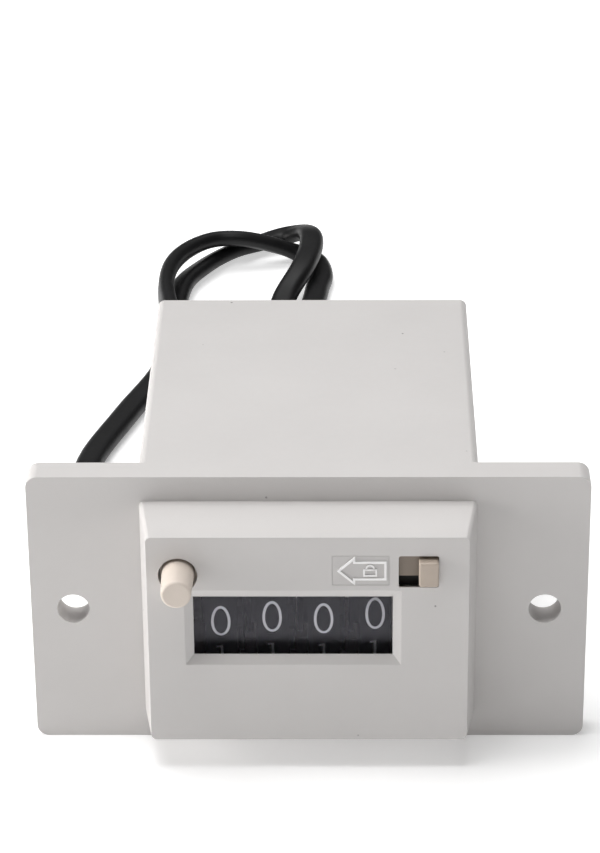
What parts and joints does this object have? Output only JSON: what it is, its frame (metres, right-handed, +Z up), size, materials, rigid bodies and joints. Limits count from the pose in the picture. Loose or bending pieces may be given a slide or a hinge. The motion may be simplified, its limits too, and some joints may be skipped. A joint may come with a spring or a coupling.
{
  "type": "panel-mount impulse counter",
  "caption": "Panel-mount electromagnetic impulse counter: flanged plastic case, bezel with number wheels behind a window, push-button reset, lock slide and a two-core rear cable.",
  "frame": {"origin": "midway between the two fixing holes, on the front flange's front face, which seats against the back of a panel", "axes": "+X right, seen from the front; +Y from the front to the rear, along the case; +Z up"},
  "size_m": [0.0758, 0.1811, 0.0402],
  "materials": {
    "housing_grey": "satin, fine-grained moulded plastic",
    "window_clear": "clear polished",
    "button_ivory": "semi-gloss",
    "slide_tan": "satin",
    "keeper_black": "matte",
    "frame_steel": "zinc-plated sheet",
    "pin_steel": "bright drawn steel",
    "magnet_iron": "soft iron, nickel plated",
    "wheel_black": "satin",
    "nylon_white": "natural acetal",
    "winding_copper": "enamelled copper wire",
    "tape_yellow": "polyester tape",
    "board_brown": "paper laminate",
    "lug_brass": "tinned brass",
    "rubber_black": "soft, satin",
    "cable_black": "smooth soft PVC",
    "core_brown": "PVC core insulation",
    "core_blue": "PVC core insulation"
  },
  "bodies": {
    "housing": {"case": "housing_grey", "bezel": "housing_grey", "window_pane": "window_clear", "lock_legend": "housing_grey", "rear_cover": "housing_grey", "rear_cover_screws": "pin_steel", "cable_bush": "rubber_black", "side_frame_left": "frame_steel", "side_frame_right": "frame_steel", "frame_spacers": "pin_steel", "chassis_plate": "frame_steel", "button_bracket": "frame_steel", "lock_keeper": "keeper_black", "wheel_shaft": "pin_steel", "shaft_clips": "frame_steel", "shaft_sleeves": "nylon_white", "pinion_shaft": "pin_steel", "pinion_sleeves": "nylon_white", "yoke": "magnet_iron", "yoke_screws": "pin_steel", "coil_core": "magnet_iron", "coil_bobbin": "nylon_white", "coil_winding": "winding_copper", "coil_tape": "tape_yellow", "armature_pin": "pin_steel", "armature_stop": "rubber_black", "terminal_board": "board_brown", "solder_lugs": "lug_brass", "lead_wires": "core_brown", "inner_cable": "cable_black", "reset_button_spring": "pin_steel", "armature_spring": "pin_steel", "cable": "cable_black", "cable_cores": "core_blue", "core_tips": "pin_steel"},
    "reset_button": {"reset_button": "button_ivory"},
    "reset_comb": {"reset_comb": "nylon_white"},
    "lock_slide": {"lock_slide": "slide_tan"},
    "number_wheel_1": {"number_wheel_1": "wheel_black"},
    "number_wheel_2": {"number_wheel_2": "wheel_black"},
    "number_wheel_3": {"number_wheel_3": "wheel_black"},
    "number_wheel_4": {"number_wheel_4": "wheel_black", "ratchet_wheel": "nylon_white"},
    "transfer_pinion_1": {"transfer_pinion_1": "nylon_white"},
    "transfer_pinion_2": {"transfer_pinion_2": "nylon_white"},
    "transfer_pinion_3": {"transfer_pinion_3": "nylon_white"},
    "armature": {"armature": "magnet_iron", "pallet": "nylon_white"}
  },
  "joints": [
    {"name": "button_press", "type": "slide", "parent": "housing", "child": "reset_button", "axis": [0, 1, 0], "range_m": [0, 0.004], "stiffness_N_per_m": 400, "springref_m": -0.0015, "deforming": ["reset_button_spring"]},
    {"name": "comb_drop", "type": "slide", "parent": "housing", "child": "reset_comb", "axis": [0, 0, -1], "range_m": [0, 0.002]},
    {"name": "lock_slide_travel", "type": "slide", "parent": "housing", "child": "lock_slide", "axis": [-1, 0, 0], "range_m": [0, 0.0026]},
    {"name": "wheel_1_spin", "type": "hinge", "parent": "housing", "child": "number_wheel_1", "pos_m": [0, 0.00565, 0.0019], "axis": [1, 0, 0], "continuous": true},
    {"name": "wheel_2_spin", "type": "hinge", "parent": "housing", "child": "number_wheel_2", "pos_m": [0, 0.00565, 0.0019], "axis": [1, 0, 0], "continuous": true},
    {"name": "wheel_3_spin", "type": "hinge", "parent": "housing", "child": "number_wheel_3", "pos_m": [0, 0.00565, 0.0019], "axis": [1, 0, 0], "continuous": true},
    {"name": "wheel_4_spin", "type": "hinge", "parent": "housing", "child": "number_wheel_4", "pos_m": [0, 0.00565, 0.0019], "axis": [1, 0, 0], "continuous": true},
    {"name": "pinion_1_spin", "type": "hinge", "parent": "housing", "child": "transfer_pinion_1", "pos_m": [0, 0.01411, -0.00818], "axis": [1, 0, 0], "continuous": true},
    {"name": "pinion_2_spin", "type": "hinge", "parent": "housing", "child": "transfer_pinion_2", "pos_m": [0, 0.01411, -0.00818], "axis": [1, 0, 0], "continuous": true},
    {"name": "pinion_3_spin", "type": "hinge", "parent": "housing", "child": "transfer_pinion_3", "pos_m": [0, 0.01411, -0.00818], "axis": [1, 0, 0], "continuous": true},
    {"name": "armature_tilt", "type": "hinge", "parent": "housing", "child": "armature", "pos_m": [0, 0.02505, 0.009], "axis": [1, 0, 0], "range_deg": [0, 4], "stiffness_Nm_per_rad": 0.02, "springref_deg": -11.46, "deforming": ["armature_spring"]}
  ],
  "couplings": [
    {"joint": "comb_drop", "follows": "button_press", "ratio": 0.5},
    {"joint": "pinion_1_spin", "follows": "wheel_1_spin", "ratio": -2.5},
    {"joint": "pinion_2_spin", "follows": "wheel_2_spin", "ratio": -2.5},
    {"joint": "pinion_3_spin", "follows": "wheel_3_spin", "ratio": -2.5}
  ]
}
